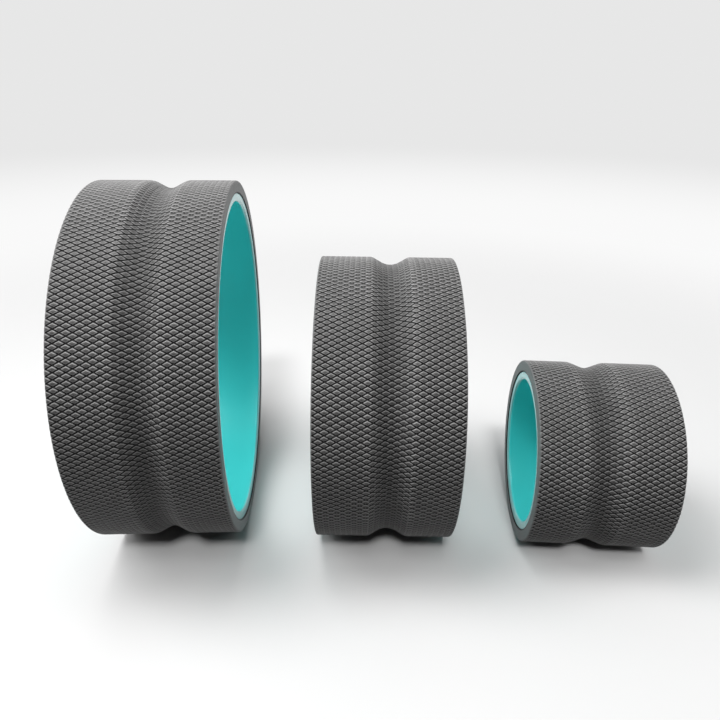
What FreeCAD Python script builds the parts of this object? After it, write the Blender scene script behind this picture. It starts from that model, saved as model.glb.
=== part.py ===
import FreeCAD, Part
import math
import os

# Set of three nesting back wheels standing on their treads in a row, large to small along +X.
# Each wheel is a rigid plastic hoop with a foam grip cover bonded round it.
# Units are millimetres, +Z is up, +Y points away from the front of the row.

# Sizes shared by the three wheels
wheel_width = 122.0
cover_thickness = 10.6
cover_edge_radius = 1.2
groove_width = 36.4
groove_shoulder_radius = 4.6
groove_bottom_radius = 17.0
film_thickness = 0.4
hoop_wall = 7.8
hoop_recess = 0.7
lip_inner_radius = 2.7
lip_outer_radius = 0.9

# Outer diameter of each wheel over its grip cover
large_diameter = 330.0
medium_diameter = 265.0
small_diameter = 173.0

# Depth of each spinal groove, and how far its middle lies from the middle of its cover along the axle
large_groove_depth = 6.8
medium_groove_depth = 7.1
small_groove_depth = 5.5
large_groove_offset = 1.6
medium_groove_offset = 3.2
small_groove_offset = -2.8

# Where the wheels stand: clear space along the row, step towards the front, and turn about +Z in degrees
large_medium_space = 74.9
medium_small_space = 71.9
medium_step_forward = 11.3
small_step_forward = 36.3
large_yaw = 3.0
medium_yaw = -0.3
small_yaw = -2.9

# Share of the room for roundings that the groove's arcs may take, so that a straight flank is left
most_rounding_share = 0.98

# Derived sizes
half_width = wheel_width / 2
groove_half_width = groove_width / 2
hoop_half_width = half_width - hoop_recess

ORIGIN = FreeCAD.Vector(0, 0, 0)
AXLE = FreeCAD.Vector(1, 0, 0)
UP = FreeCAD.Vector(0, 0, 1)
FULL_TURN = 360.0


def point(along, radius):
    """A point of a wheel's half section: distance along the axle and distance from it."""
    return FreeCAD.Vector(along, 0, radius)


def line(first, last):
    return Part.LineSegment(first, last).toShape()


def arc(first, middle, last):
    return Part.Arc(first, middle, last).toShape()


def corner(along, radius, size, side, outward):
    """Quarter-round edge: side is the sign along the axle, outward the sign along the radius."""
    centre_along = along - side * size
    centre_radius = radius - outward * size
    slope = size * math.sqrt(0.5)
    on_end = point(along, centre_radius)
    between = point(centre_along + side * slope, centre_radius + outward * slope)
    on_round = point(centre_along, radius)
    return on_end, between, on_round


def revolved(edges):
    """Solid of revolution of a closed half section about the axle."""
    wire = Part.Wire(Part.__sortEdges__(edges))
    return Part.Face(wire).revolve(ORIGIN, AXLE, FULL_TURN)


def groove(middle, tread_radius, depth):
    """Edges of the groove from shoulder to shoulder, and the two points where they meet the tread.

    A rounded shoulder, a straight flank and a rounded bottom run into each other without a corner.
    """
    most_rounding = most_rounding_share * (groove_half_width ** 2 / depth + depth) / 2
    fit_share = min(1, most_rounding / (groove_shoulder_radius + groove_bottom_radius))
    shoulder = groove_shoulder_radius * fit_share
    bottom = groove_bottom_radius * fit_share
    spare = groove_width ** 2 - 4 * depth * (2 * (shoulder + bottom) - depth)
    slope = 2 * math.atan(2 * depth / (groove_width + math.sqrt(spare)))

    def on_shoulder(side, turn):
        along = groove_half_width - shoulder * math.sin(turn)
        return point(middle + side * along, tread_radius - shoulder * (1 - math.cos(turn)))

    def on_bottom(side, turn):
        along = bottom * math.sin(turn)
        return point(middle + side * along, tread_radius - depth + bottom * (1 - math.cos(turn)))

    edges = [arc(on_bottom(-1, slope), on_bottom(1, 0), on_bottom(1, slope))]
    for side in (-1, 1):
        edges.append(arc(on_shoulder(side, 0), on_shoulder(side, slope / 2), on_shoulder(side, slope)))
        edges.append(line(on_shoulder(side, slope), on_bottom(side, slope)))
    return on_shoulder(-1, 0), on_shoulder(1, 0), edges


def grip_cover(tread_radius, groove_depth, groove_middle):
    """Foam sleeve with rounded tread edges and the rounded groove for the spine."""
    bore_radius = tread_radius - cover_thickness
    left_end, left_round, left_tread = corner(-half_width, tread_radius, cover_edge_radius, -1, 1)
    right_end, right_round, right_tread = corner(half_width, tread_radius, cover_edge_radius, 1, 1)
    left_edge, right_edge, groove_edges = groove(groove_middle, tread_radius, groove_depth)
    left_bore = point(-half_width, bore_radius)
    right_bore = point(half_width, bore_radius)
    edges = [
        line(left_bore, left_end),
        arc(left_end, left_round, left_tread),
        line(left_tread, left_edge),
        *groove_edges,
        line(right_edge, right_tread),
        arc(right_tread, right_round, right_end),
        line(right_end, right_bore),
        line(right_bore, left_bore),
    ]
    return revolved(edges)


def adhesive_film(hoop_radius):
    """Thin bonding sleeve filling the space between the hoop and the cover."""
    film_radius = hoop_radius + film_thickness
    corners = [
        point(-hoop_half_width, hoop_radius),
        point(hoop_half_width, hoop_radius),
        point(hoop_half_width, film_radius),
        point(-hoop_half_width, film_radius),
    ]
    return revolved([line(corners[i - 1], corners[i]) for i in range(len(corners))])


def hoop(hoop_radius):
    """Rigid plastic ring with rounded rim edges."""
    bore_radius = hoop_radius - hoop_wall
    edges = []
    outer_tread = {}
    inner_tread = {}
    for side in (-1, 1):
        outer = corner(side * hoop_half_width, hoop_radius, lip_outer_radius, side, 1)
        inner = corner(side * hoop_half_width, bore_radius, lip_inner_radius, side, -1)
        edges += [arc(*outer), arc(*inner), line(outer[0], inner[0])]
        outer_tread[side] = outer[2]
        inner_tread[side] = inner[2]
    edges.append(line(outer_tread[-1], outer_tread[1]))
    edges.append(line(inner_tread[-1], inner_tread[1]))
    return revolved(edges)


def standing(shape, along, forward, tread_radius, yaw):
    """Turn a wheel piece about +Z and stand it on the floor at its place in the row."""
    placed = shape.copy()
    placed.rotate(ORIGIN, UP, yaw)
    placed.translate(FreeCAD.Vector(along, -forward, tread_radius))
    return placed


def half_reach(diameter, yaw):
    """Half of the length that a turned wheel takes up along the row."""
    turn = math.radians(abs(yaw))
    return half_width * math.cos(turn) + diameter / 2 * math.sin(turn)


# The middle of the whole row lies over the origin
large_to_medium = wheel_width + large_medium_space
medium_to_small = wheel_width + medium_small_space
row_start = -half_reach(large_diameter, large_yaw)
row_end = large_to_medium + medium_to_small + half_reach(small_diameter, small_yaw)
row_middle = (row_start + row_end) / 2
large_along = -row_middle
medium_along = large_along + large_to_medium
small_along = medium_along + medium_to_small

wheels = [
    ("large", large_diameter, large_along, 0, large_yaw,
     large_groove_depth, large_groove_offset),
    ("medium", medium_diameter, medium_along, medium_step_forward, medium_yaw,
     medium_groove_depth, medium_groove_offset),
    ("small", small_diameter, small_along, small_step_forward, small_yaw,
     small_groove_depth, small_groove_offset),
]

os.makedirs("parts", exist_ok=True)
for name, diameter, along, forward, yaw, groove_depth, groove_offset in wheels:
    tread_radius = diameter / 2
    hoop_radius = tread_radius - cover_thickness - film_thickness
    pieces = {
        "hoop": hoop(hoop_radius),
        "adhesive_film": adhesive_film(hoop_radius),
        "grip_cover": grip_cover(tread_radius, groove_depth, groove_offset),
    }
    for piece, shape in pieces.items():
        placed = standing(shape, along, forward, tread_radius, yaw)
        placed.exportStep("parts/" + name + "_" + piece + ".step")
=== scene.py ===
"""Looks of the wheel set: embossed foam covers, glossy hoops, floor, light and camera."""

import math

import bpy
import numpy as np
from mathutils import Matrix, Vector


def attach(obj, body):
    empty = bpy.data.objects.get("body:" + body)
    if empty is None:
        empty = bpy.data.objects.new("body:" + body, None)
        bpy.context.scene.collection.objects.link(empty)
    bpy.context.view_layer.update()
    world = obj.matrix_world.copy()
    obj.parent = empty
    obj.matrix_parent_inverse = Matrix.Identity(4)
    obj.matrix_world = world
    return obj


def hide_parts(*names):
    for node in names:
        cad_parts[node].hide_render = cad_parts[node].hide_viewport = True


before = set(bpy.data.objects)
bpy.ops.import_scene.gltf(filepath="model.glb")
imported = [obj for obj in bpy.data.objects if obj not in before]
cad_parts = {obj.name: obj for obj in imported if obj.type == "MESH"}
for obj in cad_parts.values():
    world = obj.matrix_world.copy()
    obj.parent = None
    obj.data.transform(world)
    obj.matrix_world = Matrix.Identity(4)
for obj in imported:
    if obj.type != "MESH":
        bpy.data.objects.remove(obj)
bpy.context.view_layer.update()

MM = 0.001

# Sizes shared by the three wheels
half_width = 61.0 * MM
cover_thickness = 10.6 * MM
cover_edge_radius = 1.2 * MM
groove_width = 36.4 * MM
shoulder_radius = 4.6 * MM
bottom_radius = 17.0 * MM
film_thickness = 0.4 * MM
hoop_wall = 7.8 * MM
hoop_half_width = 60.3 * MM
lip_inner_radius = 2.7 * MM
lip_outer_radius = 0.9 * MM

# Each wheel: outer radius, centre, turn about +Z in degrees, groove depth, groove offset, diamonds around
wheels = {
    "large": dict(radius=165.0 * MM, centre=(-193.273 * MM, 0.0, 165.0 * MM), yaw=3.0,
                  depth=6.8 * MM, offset=1.6 * MM, diamonds=198),
    "medium": dict(radius=132.5 * MM, centre=(3.627 * MM, -11.3 * MM, 132.5 * MM), yaw=-0.3,
                   depth=7.1 * MM, offset=3.2 * MM, diamonds=158),
    "small": dict(radius=86.5 * MM, centre=(197.527 * MM, -36.3 * MM, 86.5 * MM), yaw=-2.9,
                  depth=5.5 * MM, offset=-2.8 * MM, diamonds=103),
}

# Embossed diamonds: half columns across the tread, the V channels between the diamonds, and how far
# the rim of a diamond lies below its flat middle
half_columns = 25
channel_depth = 1.0 * MM
channel_half_width = 0.80 * MM
rim_drop = 0.30 * MM

# Shares of the relief's depth that are left halfway round the tread's edge, and where the end begins
depth_on_edge = 0.6
depth_at_end = 0.3

# Width over which the ends are painted darker towards the bore, a painted shade of the gap at the hoop
painted_bore_shade_width = 0.9 * MM

# Paleness of the foam, as a share: painted highlight on the groove's shoulders, painted shade inside the
# groove, a little uneven
tread_paleness = 0.92
painted_shoulder_highlight = 0.16
painted_groove_shade = 0.30
uneven = 0.12
uneven_seed = 7
end_paleness = 0.53
channel_paleness = 0.85

# Height marks that the foam's colour follows: bottom of the channels, rim of the diamonds, flat middle
IN_CHANNEL, ON_RIM, ON_FLAT = 0.0, 0.5, 1.0

# Foam colours by height mark: floor and walls of the channels, outside and top of the rim, flat middle
# The foam is one grey: the pale rim is painted highlight, the black channels and dark flat middle are
# painted shade
foam_tones = [
    (IN_CHANNEL, (0.003, 0.003, 0.003)),
    (0.28, (0.006, 0.006, 0.006)),
    (0.38, (0.124, 0.123, 0.122)),
    (0.46, (0.300, 0.297, 0.297)),
    (0.55, (0.300, 0.297, 0.297)),
    (ON_FLAT, (0.086, 0.084, 0.083)),
]

# Shade of the darkest clouds in the foam's tone
cloud_shade = 0.88

# Mesh of the hoops: segments around, steps in each rounded lip, width of the narrow strips that keep
# the shading of the walls flat beside the lips, and the share of the inner lip that gets the paler rim
# colour, a painted reflection
hoop_segments = 288
lip_steps = 6
lip_support = 0.6 * MM
rim_share = 0.6

# Edges that turn more than this stay sharp, in degrees
sharp_turn = 70.0


# Mesh helpers

def placed(wheel, along, radius, turn):
    """Points of a wheel in the row's frame, from distance along the axle, radius and angle from the top."""
    yaw = math.radians(wheel["yaw"])
    across = radius * np.sin(turn)
    x = along * math.cos(yaw) - across * math.sin(yaw)
    y = along * math.sin(yaw) + across * math.cos(yaw)
    z = radius * np.cos(turn)
    return np.stack([x, y, z], axis=-1) + np.array(wheel["centre"])


def new_piece(name, points, faces, materials, slots=None):
    """A smooth-shaded mesh object with its sharpest edges kept."""
    mesh = bpy.data.meshes.new(name)
    mesh.from_pydata(points.tolist(), [], faces)
    for material in materials:
        mesh.materials.append(material)
    if slots is not None:
        mesh.polygons.foreach_set("material_index", slots)
    mesh.shade_smooth()
    mesh.set_sharp_from_angle(angle=math.radians(sharp_turn))
    mesh.update()
    piece = bpy.data.objects.new(name, mesh)
    bpy.context.scene.collection.objects.link(piece)
    return piece


def strip(first, second):
    """Quads between two closed rings of vertex numbers of the same length."""
    return np.stack([first, second, np.roll(second, -1), np.roll(first, -1)], axis=1)


# Foam covers

def groove_drop(along, wheel):
    """How far the tread lies below its full radius, at distances along the axle."""
    depth = wheel["depth"]
    spare = groove_width ** 2 - 4 * depth * (2 * (shoulder_radius + bottom_radius) - depth)
    slope = 2 * math.atan(2 * depth / (groove_width + math.sqrt(spare)))
    shoulder_run = shoulder_radius * math.sin(slope)
    bottom_run = bottom_radius * math.sin(slope)
    flank_run = groove_width / 2 - shoulder_run - bottom_run
    away = np.abs(along - wheel["offset"])
    into = groove_width / 2 - away
    on_shoulder = shoulder_radius - np.sqrt(shoulder_radius ** 2 - np.clip(into, 0, shoulder_run) ** 2)
    on_flank = math.tan(slope) * np.clip(into - shoulder_run, 0, flank_run)
    in_bottom = np.minimum(away, bottom_run)
    on_bottom = np.sqrt(bottom_radius ** 2 - in_bottom ** 2) - bottom_radius * math.cos(slope)
    return on_shoulder + on_flank + on_bottom


def paleness(along, wheel):
    """How pale the diamonds at these distances along the axle are: painted highlight on the groove's
    shoulders, painted shade in the groove, a little uneven at random.
    """
    random = np.random.default_rng(uneven_seed)
    inside = groove_drop(along, wheel) / wheel["depth"]
    from_shoulder = np.abs(np.abs(along - wheel["offset"]) - groove_width / 2)
    at_shoulder = np.clip(1 - from_shoulder / shoulder_radius, 0, 1)
    even = tread_paleness + painted_shoulder_highlight * at_shoulder - painted_groove_shade * inside
    return even - uneven * random.random(len(along))


# Outline of a diamond's rim, as shares of its two half diagonals, anticlockwise from the right
RING = np.array([(0.92, 0.07), (0.5, 0.5), (0, 0.94), (-0.5, 0.5), (-0.92, 0.07),
                 (-0.92, -0.07), (-0.5, -0.5), (0, -0.94), (0.5, -0.5), (0.92, -0.07)])

# Places in RING: crown and foot, and for the right (1) and left (-1) half of a diamond
# the upper tip, upper flank, lower tip and lower flank
CROWN, FOOT = 2, 7
HALF_RING = {1: (0, 1, 9, 8), -1: (4, 3, 5, 6)}

# Outline of a diamond's flat middle, in the same way, and the places of its points after those of RING
FLAT = np.array([(0.62, 0), (0, 0.64), (-0.62, 0), (0, -0.64)])
FLAT_RIGHT, FLAT_CROWN, FLAT_LEFT, FLAT_FOOT = range(len(RING), len(RING) + len(FLAT))
FLAT_SIDE = {1: FLAT_RIGHT, -1: FLAT_LEFT}
TOP_POINTS = len(RING) + len(FLAT)


def grip_cover(name, wheel, material):
    """Closed foam sleeve: diamonds between V channels on the tread, rounded edges, plain ends and bore."""
    around = wheel["diamonds"]
    steps = 2 * around
    tread_half = half_width - cover_edge_radius
    half_column = 2 * tread_half / half_columns
    half_row = math.pi * wheel["radius"] / around
    slant_half = half_column * half_row / math.hypot(half_column, half_row)
    top_share = 1 - channel_half_width / slant_half

    # Lattice points: channel crossings, channel middles, then each diamond's rim and flat middle
    column, place = np.meshgrid(np.arange(half_columns + 1), np.arange(around), indexing="ij")
    column, place = column.ravel(), place.ravel()
    crossing_row = 2 * place + (column + 1) % 2
    diamond_row = 2 * place + column % 2
    mid_column, mid_row = np.meshgrid(np.arange(half_columns), np.arange(steps), indexing="ij")
    form = np.vstack([RING, FLAT]) * top_share
    columns = np.concatenate([column, mid_column.ravel() + 0.5, (column[:, None] + form[:, 0]).ravel()])
    rows = np.concatenate([crossing_row, mid_row.ravel() + 0.5, (diamond_row[:, None] + form[:, 1]).ravel()])
    diamonds = len(column)
    first_middle = len(column)
    first_top = first_middle + mid_column.size

    on_flat = np.arange(TOP_POINTS) >= len(RING)
    drop = np.full(len(columns), channel_depth)
    drop[first_top:] = np.tile(np.where(on_flat, 0.0, rim_drop), diamonds)
    relief = np.full(len(columns), IN_CHANNEL)
    relief[first_top:] = np.tile(np.where(on_flat, ON_FLAT, ON_RIM), diamonds)
    # Paleness: painted highlight on the groove's shoulders, painted shade in the groove, and uneven tone at
    # random
    pale = np.full(len(columns), channel_paleness)
    pale[first_top:] = np.repeat(paleness(-tread_half + column * half_column, wheel), TOP_POINTS)

    along = np.clip(-tread_half + columns * half_column, -tread_half, tread_half)
    turn = rows * math.pi / around
    radius = wheel["radius"] - groove_drop(along, wheel) - drop

    # Vertex numbers of the lattice points at a column and row
    def crossing(at_column, at_row):
        return at_column * around + (at_row % steps) // 2

    def channel_middle(at_column, at_row):
        return first_middle + at_column * steps + at_row % steps

    def top(at_column, at_row, part):
        diamond = at_column * around + (at_row % steps) // 2
        return first_top + diamond * TOP_POINTS + part

    # Faces of the right and left halves of the diamonds; the end columns have one half each
    faces = []
    for side in (1, -1):
        has_half = (column < half_columns) if side > 0 else (column > 0)
        at, row = column[has_half], diamond_row[has_half]
        beside = at if side > 0 else at - 1
        tip = crossing(at + side, row)
        upper, lower = crossing(at, row + 1), crossing(at, row - 1)
        high, low = channel_middle(beside, row), channel_middle(beside, row - 1)
        tip_high, flank_high, tip_low, flank_low = [top(at, row, part) for part in HALF_RING[side]]
        crown, foot = top(at, row, CROWN), top(at, row, FOOT)
        flat_crown, flat_foot = top(at, row, FLAT_CROWN), top(at, row, FLAT_FOOT)
        flat_side = top(at, row, FLAT_SIDE[side])
        channel_walls = [
            (tip, high, flank_high, tip_high), (high, upper, crown, flank_high),
            (lower, low, flank_low, foot), (low, tip, tip_low, flank_low),
            (tip, tip_high, tip_low),
        ]
        diamond_top = [
            (flat_side, tip_low, tip_high), (flat_side, tip_high, flank_high),
            (flat_side, flank_high, flat_crown), (flat_crown, flank_high, crown),
            (flat_side, flank_low, tip_low), (flat_side, flat_foot, flank_low),
            (flat_foot, foot, flank_low), (flat_side, flat_crown, flat_foot),
        ]
        for face in channel_walls + diamond_top:
            corners = np.stack(face if side > 0 else face[::-1], axis=1)
            faces.extend(corners.tolist())

    def cut_edge(end_column):
        """Points along the cut through the diamonds of an end column, once around."""
        row = (end_column + 1) % 2 + 2 * np.arange(around)
        cut = [top(end_column, row + 1, part) for part in (FOOT, FLAT_FOOT, FLAT_CROWN, CROWN)]
        return np.stack([crossing(end_column, row), *cut], axis=1).ravel()

    # Edge roundings, ends and bore, as rings from the right end's cut diamonds to the left end's
    outer = wheel["radius"]
    bore = outer - cover_thickness
    bevel = math.sqrt(0.5) * cover_edge_radius
    sections = [
        (tread_half + bevel, outer - cover_edge_radius + bevel, depth_on_edge, ON_RIM),
        (half_width, outer - cover_edge_radius, depth_at_end, ON_RIM),
        (half_width, outer - 2 * cover_edge_radius, 0, ON_RIM),
        # From here to the bore the end is painted as dark as the channels: painted shade of the gap at the
        # hoop
        (half_width, bore + painted_bore_shade_width, 0, ON_RIM),
        (half_width, bore, 0, IN_CHANNEL),
    ]
    points = [np.stack([along, radius, turn], axis=1)]
    marks = [relief]
    shades = [pale]
    count = len(along)
    rings = {}
    for side, end_column in ((1, half_columns), (-1, 0)):
        edge = cut_edge(end_column)
        rings[side] = [edge]
        for out, at_radius, depth_share, mark in sections:
            ring_radius = at_radius - depth_share * drop[edge]
            points.append(np.stack([np.full(len(edge), side * out), ring_radius, turn[edge]], axis=1))
            marks.append(np.full(len(edge), mark))
            shades.append(np.full(len(edge), end_paleness))
            rings[side].append(np.arange(count, count + len(edge)))
            count += len(edge)
    chain = rings[1] + rings[-1][::-1]
    for first, second in zip(chain, chain[1:]):
        faces.extend(strip(first, second).tolist())

    # The outer halves of the end columns' diamonds have no faces, and their points are dropped
    points = np.vstack(points)
    used = np.unique(np.concatenate([np.array(face) for face in faces]))
    renumber = np.zeros(len(points), int)
    renumber[used] = np.arange(len(used))
    faces = [renumber[face].tolist() for face in faces]
    points = points[used]
    piece = new_piece(name, placed(wheel, points[:, 0], points[:, 1], points[:, 2]), faces, [material])
    for mark, values in (("relief", marks), ("paleness", shades)):
        attribute = piece.data.attributes.new(mark, "FLOAT", "POINT")
        attribute.data.foreach_set("value", np.concatenate(values)[used])
    return piece


# Hoops

def quarter(along, radius, size, start):
    """Points of a quarter-round edge about a centre; start is its first angle from the axle, in degrees."""
    angles = np.radians(np.linspace(start, start + 90, lip_steps + 1))
    return [(along + size * math.cos(angle), radius + size * math.sin(angle)) for angle in angles]


def hoop(name, wheel, plastic, rim_reflection_plastic):
    """Rigid ring with rounded lips; its end faces get a paler colour, a painted reflection of the bright
    surroundings.
    """
    outer = wheel["radius"] - cover_thickness - film_thickness
    inner = outer - hoop_wall
    lips = quarter(hoop_half_width - lip_inner_radius, inner + lip_inner_radius, lip_inner_radius, -90)
    lips += quarter(hoop_half_width - lip_outer_radius, outer - lip_outer_radius, lip_outer_radius, 0)
    inner_wall = (hoop_half_width - lip_inner_radius - lip_support, inner)
    outer_wall = (hoop_half_width - lip_outer_radius - lip_support, outer)
    half = [inner_wall] + lips + [outer_wall]
    section = half + [(-along, radius) for along, radius in half[::-1]]
    turn = np.arange(hoop_segments) * 2 * math.pi / hoop_segments
    rings = [placed(wheel, np.full(hoop_segments, along), radius, turn) for along, radius in section]
    faces, slots = [], []
    for n, here in enumerate(section):
        following = (n + 1) % len(section)
        first = n * hoop_segments + np.arange(hoop_segments)
        second = following * hoop_segments + np.arange(hoop_segments)
        faces.extend(strip(second, first).tolist())
        middle = (abs(here[0]) + abs(section[following][0])) / 2
        on_rim = middle > hoop_half_width - rim_share * lip_inner_radius
        slots.extend([1 if on_rim else 0] * hoop_segments)
    return new_piece(name, np.vstack(rings), faces, [plastic, rim_reflection_plastic], slots)


# Materials

# Range that the values of a noise texture mostly fill, and the height of all fine bumps
NOISE_LOW, NOISE_HIGH = 0.3, 0.7
bump_height = 0.3 * MM


def grey(level):
    return (level, level, level)


def new_material(name):
    material = bpy.data.materials.new(name)
    material.use_nodes = True
    nodes = material.node_tree.nodes
    return material, nodes, material.node_tree.links, nodes["Principled BSDF"]


def noise(nodes, links, scale, detail):
    """Noise over the piece's own coordinates, in features per metre."""
    place = nodes.new("ShaderNodeTexCoord")
    texture = nodes.new("ShaderNodeTexNoise")
    texture.inputs["Scale"].default_value = scale
    texture.inputs["Detail"].default_value = detail
    links.new(place.outputs["Object"], texture.inputs["Vector"])
    return texture.outputs["Fac"]


def ramp(nodes, links, factor, stops):
    """Colour ramp through (position, colour) stops."""
    node = nodes.new("ShaderNodeValToRGB")
    elements = node.color_ramp.elements
    for n, (position, colour) in enumerate(stops):
        element = elements[n] if n < 2 else elements.new(position)
        element.position = position
        element.color = (*colour, 1)
    links.new(factor, node.inputs["Fac"])
    return node.outputs["Color"]


def spread(nodes, links, factor, low, high):
    """Noise mapped to a range of values."""
    node = nodes.new("ShaderNodeMapRange")
    node.inputs["From Min"].default_value = NOISE_LOW
    node.inputs["From Max"].default_value = NOISE_HIGH
    node.inputs["To Min"].default_value = low
    node.inputs["To Max"].default_value = high
    links.new(factor, node.inputs["Value"])
    return node.outputs["Result"]


def bump(nodes, links, height, strength, surface):
    node = nodes.new("ShaderNodeBump")
    node.inputs["Strength"].default_value = strength
    node.inputs["Distance"].default_value = bump_height
    links.new(height, node.inputs["Height"])
    links.new(node.outputs["Normal"], surface.inputs["Normal"])


def multiplied(nodes, links, first, second):
    node = nodes.new("ShaderNodeMix")
    node.data_type = "RGBA"
    node.blend_type = "MULTIPLY"
    node.inputs["Factor"].default_value = 1
    links.new(first, node.inputs["A"])
    links.new(second, node.inputs["B"])
    return node.outputs["Result"]


def foam_material():
    """Matte closed-cell foam: painted highlight on pale rims and groove shoulders, painted shade in darker
    middles, black channels and the groove; cloudy tone and fine skin.
    """
    material, nodes, links, surface = new_material("grip_foam")
    relief, pale = nodes.new("ShaderNodeAttribute"), nodes.new("ShaderNodeAttribute")
    relief.attribute_name = "relief"
    pale.attribute_name = "paleness"
    tone = ramp(nodes, links, relief.outputs["Fac"], foam_tones)
    lumps = noise(nodes, links, scale=45, detail=4)
    clouds = ramp(nodes, links, lumps, [(NOISE_LOW, grey(cloud_shade)), (NOISE_HIGH, grey(1.0))])
    shaded = multiplied(nodes, links, tone, pale.outputs["Color"])
    links.new(multiplied(nodes, links, shaded, clouds), surface.inputs["Base Color"])
    skin = noise(nodes, links, scale=1300, detail=3)
    links.new(spread(nodes, links, skin, low=0.40, high=0.54), surface.inputs["Roughness"])
    surface.inputs["Specular IOR Level"].default_value = 0.2
    bump(nodes, links, skin, strength=0.25, surface=surface)
    return material


def plastic_material(name, dark, light, smoothest, roughest):
    """Glossy moulded plastic with a faint cloudiness and orange-peel skin."""
    material, nodes, links, surface = new_material(name)
    clouds = noise(nodes, links, scale=18, detail=1)
    colour = ramp(nodes, links, clouds, [(NOISE_LOW, dark), (NOISE_HIGH, light)])
    links.new(colour, surface.inputs["Base Color"])
    polish = noise(nodes, links, scale=25, detail=1)
    links.new(spread(nodes, links, polish, low=smoothest, high=roughest), surface.inputs["Roughness"])
    peel = noise(nodes, links, scale=60, detail=1)
    bump(nodes, links, peel, strength=0.006, surface=surface)
    return material


def adhesive_material(dark, light):
    """Dark cured adhesive with a slightly uneven sheen; its dark colour is partly painted shade of the gap
    at the hoop.
    """
    material, nodes, links, surface = new_material("adhesive_film")
    lumps = noise(nodes, links, scale=300, detail=4)
    colour = ramp(nodes, links, lumps, [(NOISE_LOW, dark), (NOISE_HIGH, light)])
    links.new(colour, surface.inputs["Base Color"])
    links.new(spread(nodes, links, lumps, low=0.45, high=0.75), surface.inputs["Roughness"])
    bump(nodes, links, lumps, strength=0.3, surface=surface)
    return material


foam = foam_material()
teal = plastic_material("hoop_plastic", dark=(0.066, 0.700, 0.696), light=(0.071, 0.712, 0.708),
                        smoothest=0.23, roughest=0.26)
# The rims' paler colour is a painted reflection of the bright surroundings on the teal plastic
rim = plastic_material("hoop_rim_painted_reflection", dark=(0.222, 0.607, 0.610), light=(0.252, 0.622, 0.625),
                       smoothest=0.14, roughest=0.18)
# The film is a real layer; its dark colour is partly painted shade of the gap between the foam and the hoop
adhesive = adhesive_material(dark=(0.012, 0.013, 0.014), light=(0.035, 0.036, 0.037))

for name, wheel in wheels.items():
    body = name + "_wheel"
    cover = grip_cover(name + "_embossed_cover", wheel, foam)
    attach(cover, body)
    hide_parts(name + "_grip_cover")
    ring = hoop(name + "_glossy_hoop", wheel, teal, rim)
    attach(ring, body)
    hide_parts(name + "_hoop")
    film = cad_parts[name + "_adhesive_film"]
    film.data.materials.clear()
    film.data.materials.append(adhesive)


# Floor, light and camera

# Levels of grey: the floor as it lights the wheels, the floor as it is seen, the white further away,
# and the backdrop
floor_bounce = 0.138
floor_seen = 0.455
far_white = 0.95
backdrop_grey = 0.80

# Distances from the middle of the floor in metres: where the lit floor fades into white, where the white
# fades into the backdrop's grey, and the edge of the floor
white_from, white_to = 0.45, 1.3
grey_from, grey_to = 1.45, 3.1
floor_reach = 40.0

# Ambient light: its strength, the share of it that comes from the front, and the places between which
# it rises to the full, along +Y on a sphere of radius 1
ambient_strength = 0.464
front_share = 0.06
front_until, full_from = -0.75, 0.0

# Camera: place in metres, tilt and roll in degrees, focal length and sensor width in millimetres
camera_place = (-0.02007, -0.5793, 0.4344)
camera_tilt = 65
camera_roll = 0.777
focal_length = 33.02
sensor_width = 36.0


def away_from_middle(nodes, links, start, end):
    """Smooth step from 0 to 1 between two distances from the middle of the floor."""
    place = nodes.new("ShaderNodeTexCoord")
    distance = nodes.new("ShaderNodeVectorMath")
    distance.operation = "LENGTH"
    links.new(place.outputs["Object"], distance.inputs[0])
    step = nodes.new("ShaderNodeMapRange")
    step.interpolation_type = "SMOOTHSTEP"
    step.inputs["From Min"].default_value = start
    step.inputs["From Max"].default_value = end
    links.new(distance.outputs["Value"], step.inputs["Value"])
    return step.outputs["Result"]


def any_ray(nodes, links, *kinds):
    """1 for a ray of any of these kinds, 0 for all others."""
    path = nodes.new("ShaderNodeLightPath")
    result = path.outputs[kinds[0]]
    for kind in kinds[1:]:
        either = nodes.new("ShaderNodeMath")
        either.operation = "MAXIMUM"
        links.new(result, either.inputs[0])
        links.new(path.outputs[kind], either.inputs[1])
        result = either.outputs["Value"]
    return result


def mixed_shader(nodes, links, factor, first, second):
    mix = nodes.new("ShaderNodeMixShader")
    links.new(factor, mix.inputs["Fac"])
    links.new(first.outputs[0], mix.inputs[1])
    links.new(second.outputs[0], mix.inputs[2])
    return mix


def floor_material():
    """Pale floor that keeps the shadows; further away an even white, and then the backdrop's grey."""
    material, nodes, links, surface = new_material("floor")
    seen = nodes.new("ShaderNodeMix")
    seen.data_type = "RGBA"
    looked_at = any_ray(nodes, links, "Is Camera Ray", "Is Glossy Ray", "Is Transmission Ray")
    links.new(looked_at, seen.inputs["Factor"])
    seen.inputs["A"].default_value = (*grey(floor_bounce), 1)
    seen.inputs["B"].default_value = (*grey(floor_seen), 1)
    links.new(seen.outputs["Result"], surface.inputs["Base Color"])
    surface.inputs["Roughness"].default_value = 0.9
    surface.inputs["Specular IOR Level"].default_value = 0.0
    far = nodes.new("ShaderNodeEmission")
    far_colour = ramp(nodes, links, away_from_middle(nodes, links, grey_from, grey_to),
                      [(0.0, grey(far_white)), (1.0, grey(backdrop_grey))])
    links.new(far_colour, far.inputs["Color"])
    faded = mixed_shader(nodes, links, away_from_middle(nodes, links, white_from, white_to), surface, far)
    links.new(faded.outputs[0], nodes["Material Output"].inputs["Surface"])
    return material


def stage_floor():
    corners = np.array([(-1, -1, 0), (1, -1, 0), (1, 1, 0), (-1, 1, 0)]) * floor_reach
    floor = new_piece("floor", corners, [(0, 1, 2, 3)], [floor_material()])
    return floor


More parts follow.
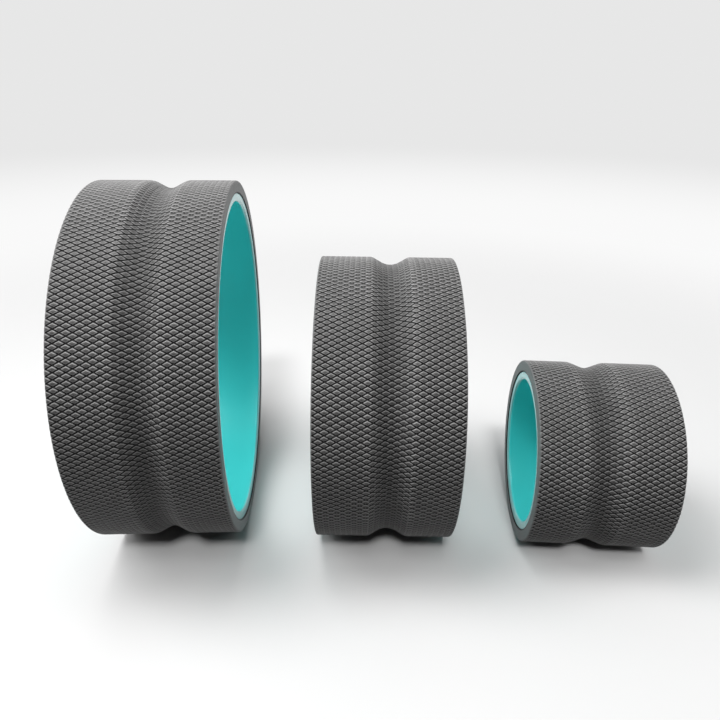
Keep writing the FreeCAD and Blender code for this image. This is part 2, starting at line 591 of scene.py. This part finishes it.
def sun(name, strength, elevation, azimuth, softness):
    """Even soft light; elevation above the floor and azimuth from the front, in degrees."""
    lamp = bpy.data.lights.new(name, "SUN")
    lamp.energy = strength
    lamp.angle = math.radians(softness)
    holder = bpy.data.objects.new(name, lamp)
    bpy.context.scene.collection.objects.link(holder)
    tilt = Matrix.Rotation(math.radians(90 - elevation), 4, "X")
    holder.matrix_world = Matrix.Rotation(math.radians(azimuth), 4, "Z") @ tilt
    return holder


def softbox(name, strength, size, place, aim):
    """Square area light near the object; place and aim are points in metres."""
    lamp = bpy.data.lights.new(name, "AREA")
    lamp.energy = strength
    lamp.size = size
    holder = bpy.data.objects.new(name, lamp)
    bpy.context.scene.collection.objects.link(holder)
    towards = Vector(aim) - Vector(place)
    holder.matrix_world = Matrix.Translation(place) @ towards.to_track_quat("-Z", "Y").to_matrix().to_4x4()


def surroundings():
    """Ambient light, dim from the front and full from above and behind.

    Reflections show it at full strength, and the camera sees an even grey.
    """
    world = bpy.data.worlds.new("studio")
    world.use_nodes = True
    bpy.context.scene.world = world
    nodes, links = world.node_tree.nodes, world.node_tree.links
    place = nodes.new("ShaderNodeTexCoord")
    bright_side = nodes.new("ShaderNodeVectorMath")
    bright_side.operation = "DOT_PRODUCT"
    links.new(place.outputs["Generated"], bright_side.inputs[0])
    bright_side.inputs[1].default_value = (0.0, 1.0, 0.0)
    level = nodes.new("ShaderNodeMapRange")
    level.interpolation_type = "SMOOTHSTEP"
    level.inputs["From Min"].default_value = front_until
    level.inputs["From Max"].default_value = full_from
    links.new(bright_side.outputs["Value"], level.inputs["Value"])
    glow = ramp(nodes, links, level.outputs["Result"], [(0.0, grey(front_share)), (1.0, grey(1.0))])
    ambient = nodes["Background"]
    links.new(glow, ambient.inputs["Color"])
    ambient.inputs["Strength"].default_value = ambient_strength
    reflected = nodes.new("ShaderNodeBackground")
    links.new(glow, reflected.inputs["Color"])
    reflected.inputs["Strength"].default_value = 1.0
    backdrop = nodes.new("ShaderNodeBackground")
    backdrop.inputs["Color"].default_value = (*grey(1.0), 1)
    backdrop.inputs["Strength"].default_value = backdrop_grey
    in_gloss = any_ray(nodes, links, "Is Glossy Ray", "Is Transmission Ray")
    direct = any_ray(nodes, links, "Is Camera Ray")
    light = mixed_shader(nodes, links, in_gloss, ambient, reflected)
    light = mixed_shader(nodes, links, direct, light, backdrop)
    links.new(light.outputs[0], nodes["World Output"].inputs["Surface"])


# The front lamp lights the floor alone
floor = stage_floor()
lit_by_front = bpy.data.collections.new("lit_by_front")
lit_by_front.objects.link(floor)
softbox("overhead", strength=12.9, size=0.60, place=(-0.36, -0.16, 1.20), aim=(-0.2, 0.0, 0.0))
sun("high", strength=0.74, elevation=60, azimuth=-3, softness=14)
sun("left", strength=1.6, elevation=46, azimuth=-90, softness=40)
sun("right", strength=0.44, elevation=46, azimuth=90, softness=40)
front = sun("front", strength=2.2, elevation=49, azimuth=-2, softness=8)
front.light_linking.receiver_collection = lit_by_front
surroundings()
bpy.context.scene.view_settings.view_transform = "Standard"

lens = bpy.data.cameras.new("camera")
lens.sensor_width = sensor_width
lens.lens = focal_length
camera = bpy.data.objects.new("camera", lens)
bpy.context.scene.collection.objects.link(camera)
camera.matrix_world = (Matrix.Translation(camera_place)
                       @ Matrix.Rotation(math.radians(camera_tilt), 4, "X")
                       @ Matrix.Rotation(math.radians(camera_roll), 4, "Z"))
bpy.context.scene.camera = camera
